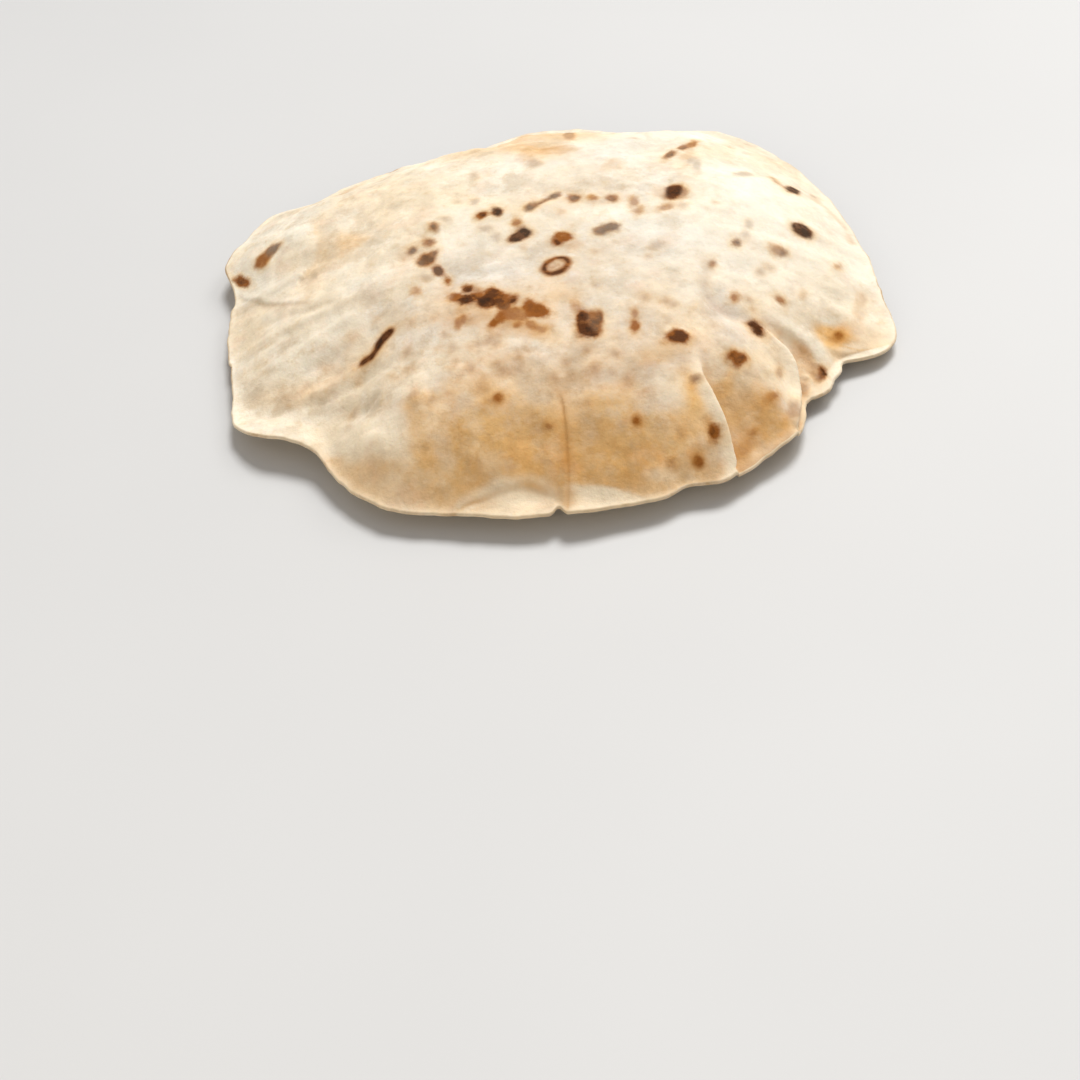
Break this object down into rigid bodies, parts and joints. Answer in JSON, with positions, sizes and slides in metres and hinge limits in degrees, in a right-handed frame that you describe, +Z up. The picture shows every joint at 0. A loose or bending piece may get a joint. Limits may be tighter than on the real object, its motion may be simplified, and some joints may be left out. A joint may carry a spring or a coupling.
{
  "type": "chapati flatbread",
  "caption": "Round, puffed griddle flatbread with a low dome, soft pleats and a thin wavy brim; lies flat on its underside.",
  "frame": {"origin": "under the middle of the bread's bounding box, on the surface it lies on", "axes": "+Z up through the dome, +X across to the right, +Y away from the diner"},
  "size_m": [0.1798, 0.1662, 0.0308],
  "materials": {
    "baked_dough": null
  },
  "bodies": {
    "root": {"chapati": "baked_dough"}
  },
  "joints": []
}
